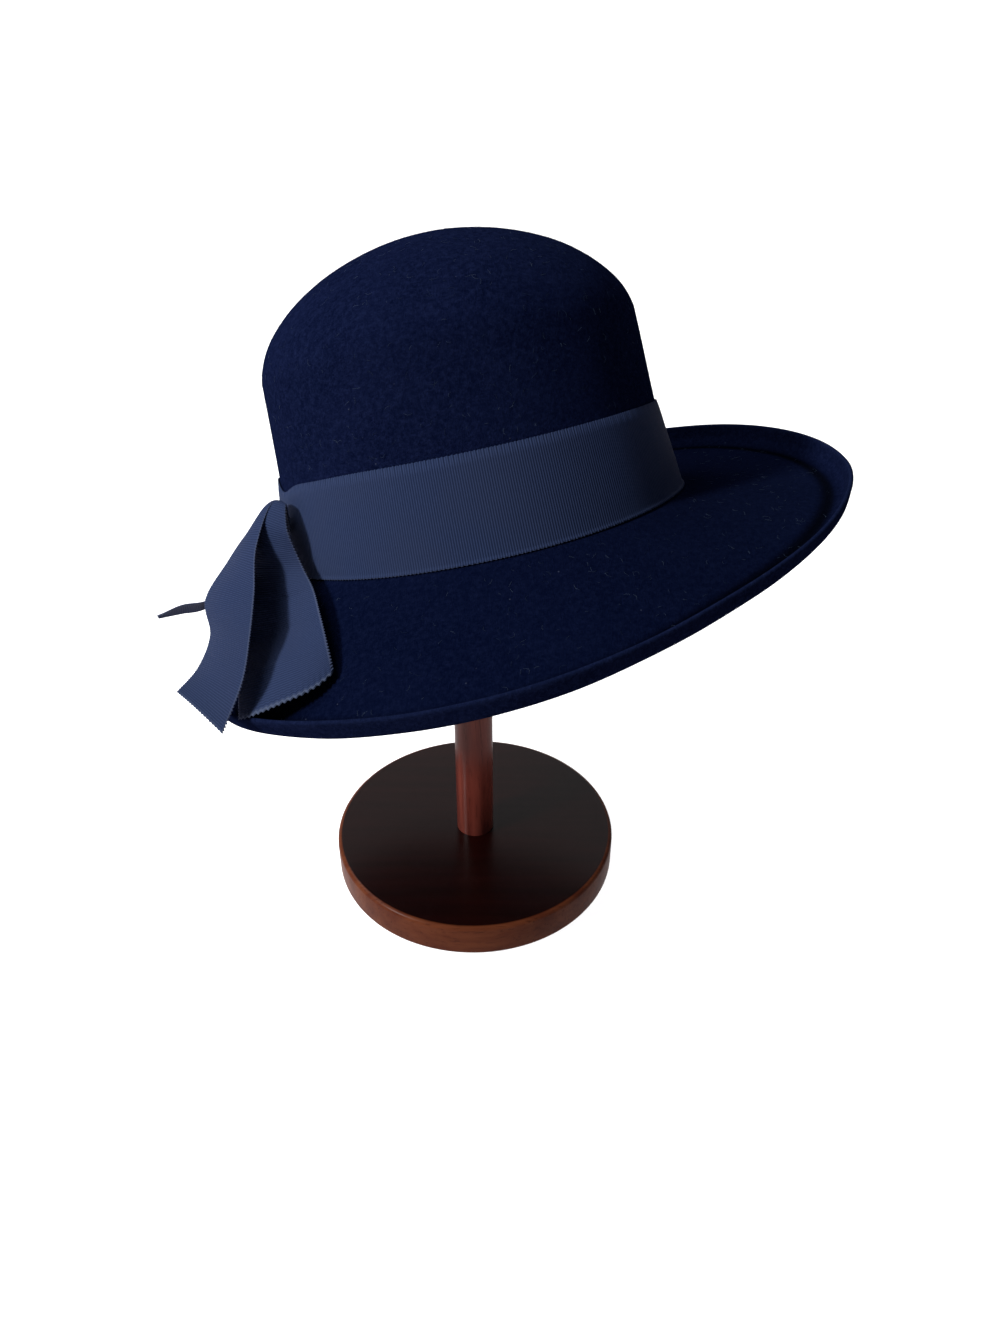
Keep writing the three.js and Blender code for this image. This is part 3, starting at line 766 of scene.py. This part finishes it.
# %% The near tail
near_tail = ribbon_tail(
    "bow_tail_near_cloth", "bow_tail_near",
    left={
        "turn": (-4, -4.5, -5.2, -5.5, -8, -3, -1, 8, 14),
        "reach": (.20, .10, .14, .24, .43, .55, .68, .84, 1.00),
        "lift": (0, .13, .26, .33, .37, .32, .22, .25, .32),
    },
    right={
        "turn": (-.8, 4.5, 8.5, 9.5, 12, 18, 23.5, 27.5, 30),
        "reach": (.20, .09, .18, .27, .33, .46, .57, .69, .78),
        "lift": (0, .10, .20, .15, .15, .15, .15, .14, .15),
    },
    length=TAIL_LENGTH, folds=(0, .05, .10, .09, .04, -.08, -.075, .01, .04),
    crest=(.40, .38, .35, .35, .38, .38, .36), tooth_depth=FULL_TOOTH, bulge=5.6, curl=5.0,
)

# %% [markdown]
# The other two tails stand freer. The far one falls over the brim's back edge, and the rear one
# points away, so the camera sees only a thin curl of it.

# %% The far tail
far_tail = ribbon_tail(
    "bow_tail_far_cloth", "bow_tail_far",
    left={
        "turn": (-3, -2.5, -8, -12.5, -10.5, -3, 2, 5.5),
        "reach": (.15, .09, .21, .43, .60, .73, .87, .99),
        "lift": (0, .14, .41, .59, .66, .51, .53, .66),
    },
    right={
        "turn": (0, 0.5, 4, 8.5, 13.5, 17, 16.5),
        "reach": (.15, .08, .23, .55, .72, .90, 1.09),
        "lift": (0, .15, .46, .47, .44, .42, .37),
    },
    length=TAIL_LENGTH, folds=(0, .05, .05), crest=(.5, .5), tooth_depth=0.5,
)

# %% The rear tail
rear_tail = ribbon_tail(
    "bow_tail_rear_cloth", "bow_tail_rear",
    left={
        "turn": (-9, -17, -26, -30, -29, -29, -28),
        "reach": (.21, .37, .57, .81, .93, .99, 1.05),
        "lift": (0, .12, .33, .53, .73, .93, 1.14),
    },
    right={
        "turn": (-5, -9, -14, -19, -15.5, -18.5, -24),
        "reach": (.19, .27, .39, .71, .81, .88, 1.01),
        "lift": (0, .17, .34, .51, .64, .86, 1.11),
    },
    length=REAR_LENGTH, folds=(0, .02, .02), crest=(.5, .5), tooth_depth=0.5,
)

# %% [markdown]
# The ribbon's dye is a greyer navy than the felt's, and its raised ribs catch the light
# while the gaps between them stay dark. One sine of the UV's length gives the ribs, as a bump
# and as painted light and shade in the colour. A noise stretched along each rib stands for
# single threads, and the edges get a painted highlight that makes them a little paler.

# %% The ribbon's finish
ribbon = Finish("ribbed_ribbon")
cloth = ribbon.node("UVMap", {"uv_map": "cloth"})
parts = ribbon.node("SeparateXYZ", None, {"Vector": cloth}, output="X")
ribs = (parts * (2 * np.pi / (RIB_PITCH * MM))).sine() * 0.5 + 0.5
threads = ribbon.noise(ribbon.stretched(cloth, (0, 0, 0), (3600.0, 520.0, 1.0)), 1.0, 2.0, 0.6)
shades = ribbon.noise(ribbon.node("TexCoord", output="Object"), 26.0, 2.0)
across_share = parts.other("Y") * (1 / (RIBBON_WIDTH * MM))
selvedge_highlight = (across_share * (1 - across_share) * 4).between(0.10, 0.02)
raised = ribbon.mix(threads, (0.020, 0.034, 0.088), (0.039, 0.060, 0.138))
# Painted light and shade: rib tops lighter and the gaps between ribs darker in the colour.
ribs_lit_and_shaded = ribbon.mix(ribs.between(-0.2, 0.6), (0.0125, 0.0205, 0.056), raised)
aged = ribbon.mix(shades.between(0.35, 0.7) * 0.35, ribs_lit_and_shaded, (0.030, 0.042, 0.090))
# Painted highlight: a paler line along both woven edges of the ribbon.
edges_highlit = ribbon.mix(selvedge_highlight * 0.7, aged, (0.085, 0.105, 0.180))
cut_ends = ribbon.node("Attribute", {"attribute_name": "cut"}, output="Fac")
ribbon_colour = ribbon.mix(cut_ends * 0.5, edges_highlit, (0.130, 0.160, 0.240))
weave = ribbon.bump(ribs + threads * 0.5, 0.6, 0.00025)
ribbon_finish = ribbon.shade(
    Base_Color=ribbon_colour, Roughness=0.72, Normal=weave,
    Specular_IOR_Level=0.05, Sheen_Weight=0.03, Sheen_Roughness=0.35, Sheen_Tint=(0.5, 0.6, 1.0, 1),
)
for piece in (hat_band, near_tail, far_tail, rear_tail):
    piece.data.materials.append(ribbon_finish)

# %% [markdown]
# ## The wooden stand
# A lathe turns the disc, the post and the domed head, so each is one outline carried round
# the upright axis. A Screw modifier would do it too, but the outline and the turn as arrays
# keep the axis points single, so the mesh stays closed.

# %% Turning a piece
def turned(name, node, radius, height, top=None, steps=160):
    """An outline from the axis back to the axis, turned round it: radius times cosine and sine."""
    radius, height = np.asarray(radius, float), np.asarray(height, float)
    turn = np.arange(steps) / steps * 2 * np.pi
    rings = np.stack(np.broadcast_arrays(
        radius[1:-1, None] * np.cos(turn), radius[1:-1, None] * np.sin(turn), height[1:-1, None]
    ), axis=-1)
    ends = np.array([[0, 0, height[0]], [0, 0, height[-1]]])
    i = np.arange(steps)
    after, last = (i + 1) % steps, (len(rings) - 1) * steps + 2
    caps = np.concatenate([
        np.stack([np.zeros_like(i), after + 2, i + 2], axis=-1),
        np.stack([np.ones_like(i), i + last, after + last], axis=-1),
    ])
    shaded = np.zeros(len(radius)) if top is None else np.asarray(top, float)
    marks = {"upper": np.concatenate([shaded[[0, -1]], np.repeat(shaded[1:-1], steps)])}
    piece = new_piece(name, np.concatenate([ends, rings.reshape(-1, 3)]) * MM,
                      [grid_faces(len(rings), steps, round_columns=True, first=2), caps], marks=marks)
    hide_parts(node)
    return piece


def arc(centre, middle, radius, first, last, steps=8):
    """Part of a circle in the outline's plane, as radii and heights, between two angles in degrees."""
    turn = np.radians(np.linspace(first, last, steps + 1))
    return centre + radius * np.cos(turn), middle + radius * np.sin(turn)


# %% The disc, the post and the head
BASE_DIAMETER, BASE_THICKNESS, EDGE_RADIUS, POST_DIAMETER = 160.0, 20.0, 2.5, 21.0
HEAD_DIAMETER, HEAD_HEIGHT, HEAD_EDGE, SOCKET_DEPTH = 96.0, 42.0, 8.0, 12.0
post_low, post_high = (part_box("stand_post")[i][2] / MM for i in (0, 1))
head_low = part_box("stand_head")[0][2] / MM
POST_RADIUS, POST_CHAMFER, SOCKET_GAP = POST_DIAMETER / 2, 1.0, 0.03
socket = POST_RADIUS + SOCKET_GAP
low = arc(BASE_DIAMETER / 2 - EDGE_RADIUS, EDGE_RADIUS, EDGE_RADIUS, -90, 0)
high = arc(BASE_DIAMETER / 2 - EDGE_RADIUS, BASE_THICKNESS - EDGE_RADIUS, EDGE_RADIUS, 0, 90)
face_in = np.linspace(BASE_DIAMETER / 2 - EDGE_RADIUS - 1, socket + 1, 10)
face_in = np.concatenate([face_in, [socket + 0.1, socket]])
below_edge = 2 + len(low[0]) + len(high[0]) - 2
stand_base = turned(
    "stand_base_disc", "stand_base",
    [0, BASE_DIAMETER / 4, *low[0], *high[0], *face_in, socket, socket, 0],
    [0, 0, *low[1], *high[1], *np.full(len(face_in), BASE_THICKNESS), BASE_THICKNESS - 0.1,
     *[BASE_THICKNESS - SOCKET_DEPTH] * 2],
    top=[0] * below_edge + [0.4, 1] + [1] * (len(face_in) + 3),
)
post_narrow = POST_RADIUS - POST_CHAMFER
stand_post = turned(
    "stand_post_rod", "stand_post",
    [0, post_narrow, POST_RADIUS, *[POST_RADIUS] * 12, POST_RADIUS, post_narrow, 0],
    [post_low, post_low, post_low + POST_CHAMFER, *np.linspace(post_low + 2, post_high - 2, 12),
     post_high - POST_CHAMFER, post_high, post_high],
)
dome = np.linspace(0, np.pi / 2, 40)
stand_head = turned(
    "stand_head_dome", "stand_head",
    [0, socket, socket, *(HEAD_DIAMETER / 2 * np.cos(dome[:-1])), 0],
    [head_low + SOCKET_DEPTH, head_low + SOCKET_DEPTH, head_low,
     *(head_low + HEAD_EDGE + (HEAD_HEIGHT - HEAD_EDGE) * np.sin(dome[:-1])), head_low + HEAD_HEIGHT],
)
print("post from", round(post_low, 1), "to", round(post_high, 1), "mm")

# %% [markdown]
# The wood is stained a deep reddish brown and varnished. Its grain is a noise drawn out along
# the plank or the rod, with fine dark pores on top, and a clear coat gives the wet shine. The
# grain follows each piece's own length, so the disc and the rod have a Mapping each. The disc's
# top has more varnish than its side, and its darker colour is painted shade, as under the hat;
# a mark on its points tells the finish.

# %% The wood's finish
GRAIN_TURN, FIGURE_SCALE, PORE_SCALE = (0, 0, 0.12), 9.0, 70.0


def stained_wood(name, size, pale, dark, shine):
    """Stained and varnished wood: figure and pores drawn out by size, with painted shade where the disc
    faces up.
    """
    wood = Finish(name)
    where = wood.node("TexCoord", output="Object")
    coarse, fine = (tuple(scale * s for s in size) for scale in (FIGURE_SCALE, PORE_SCALE))
    figure = wood.noise(wood.stretched(where, GRAIN_TURN, coarse), 1.0, 4.0, 0.6)
    pores = wood.noise(wood.stretched(where, GRAIN_TURN, fine), 1.0, 3.0, 0.7)
    upper = wood.node("Attribute", {"attribute_name": "upper"}, output="Fac")
    streaks = figure.between(0.3, 0.72)
    edge_stain = wood.mix(streaks, dark, pale)
    # Painted shade: the disc's top is coloured darker to stand for the hat's shadow over it.
    top_painted_shade = wood.mix(streaks, (0.0065, 0.0006, 0.0004), (0.0120, 0.0013, 0.0009))
    stain_and_top_shade = wood.mix(upper, edge_stain, top_painted_shade)
    grain = wood.mix(pores.between(0.52, 0.74) * 0.5, stain_and_top_shade, (0.008, 0.002, 0.0018))
    return wood.shade(
        Base_Color=grain, Roughness=pores * 0.12 + 0.26, Normal=wood.bump(pores, 0.05, 0.0002),
        Coat_Weight=upper * 0.52 + shine, Coat_Roughness=0.22, Specular_IOR_Level=0.06,
    )


plank_finish = stained_wood(
    "stained_plank", (0.9, 14.0, 9.0), pale=(0.185, 0.052, 0.0210), dark=(0.115, 0.027, 0.0120), shine=0.03
)
rod_finish = stained_wood(
    "stained_rod", (12.0, 12.0, 0.8), pale=(0.250, 0.056, 0.0370), dark=(0.120, 0.022, 0.0150), shine=0.42
)
stand_base.data.materials.append(plank_finish)
stand_head.data.materials.append(plank_finish)
stand_post.data.materials.append(rod_finish)

# %% [markdown]
# ## The light
# The photograph has one soft source on the left, like a window, a weaker one above, and little
# on the right. A sun would give hard edges to every shadow, so these are area lamps, whose
# size sets how soft the edges are.

# %% The lamps
def lamp(name, place, towards, size, power):
    """A square area lamp at a place, turned so that it shines towards a point."""
    light = bpy.data.lights.new(name, "AREA")
    light.size, light.energy = size, power
    lit = bpy.data.objects.new(name, light)
    bpy.context.collection.objects.link(lit)
    lit.location = place
    aim = np.array(towards) - np.array(place)
    tilt = np.arccos(-aim[2] / np.linalg.norm(aim))
    lit.rotation_euler = (tilt, 0, np.arctan2(aim[1], aim[0]) - np.pi / 2)


lamp("window_left", (-1.80, -0.95, 1.50), towards=(0, 0, 0.25), size=0.36, power=46.5)
lamp("soft_above", (-1.2, 0.5, 2.1), towards=(0, 0, 0.2), size=1.2, power=21)

# %% [markdown]
# The paper needs more light than the hat, so that it turns white behind it. In a studio a
# lamp of its own does that, shielded from the object. Here light linking is the shield: the
# lamp's receivers are one collection, with only the paper in it. What throws shadows in its
# light is a collection as well, so the hat throws none there.

# %% The paper's own lamp
sun = bpy.data.lights.new("paper_lamp", "SUN")
sun.energy, sun.angle = 4.4, 0.3
paper_lamp = bpy.data.objects.new("paper_lamp", sun)
bpy.context.collection.objects.link(paper_lamp)
paper_lamp.rotation_euler = (np.radians(45), 0, 0)
paper_only = bpy.data.collections.new("paper_only")
paper_only.objects.link(floor)
paper_lamp.light_linking.receiver_collection = paper_only
shadow_makers = bpy.data.collections.new("paper_shadows")
shadow_makers.objects.link(floor)
paper_lamp.light_linking.blocker_collection = shadow_makers

# %% [markdown]
# What the lamps miss gets a dim bluish grey from the world. Seen directly it would show as a
# grey band above the paper, so the world is white to the camera, as the paper is.

# %% The room's dim light
room = Finish("studio", bpy.data.worlds)
seen_directly = room.node("LightPath", output="Is Camera Ray")
air_colour = room.mix(seen_directly, (0.066, 0.076, 0.098), (1, 1, 1))
room.node("OutputWorld", None, {"Surface": room.node("Background", None, {"Color": air_colour})})
bpy.context.scene.world = room.owner
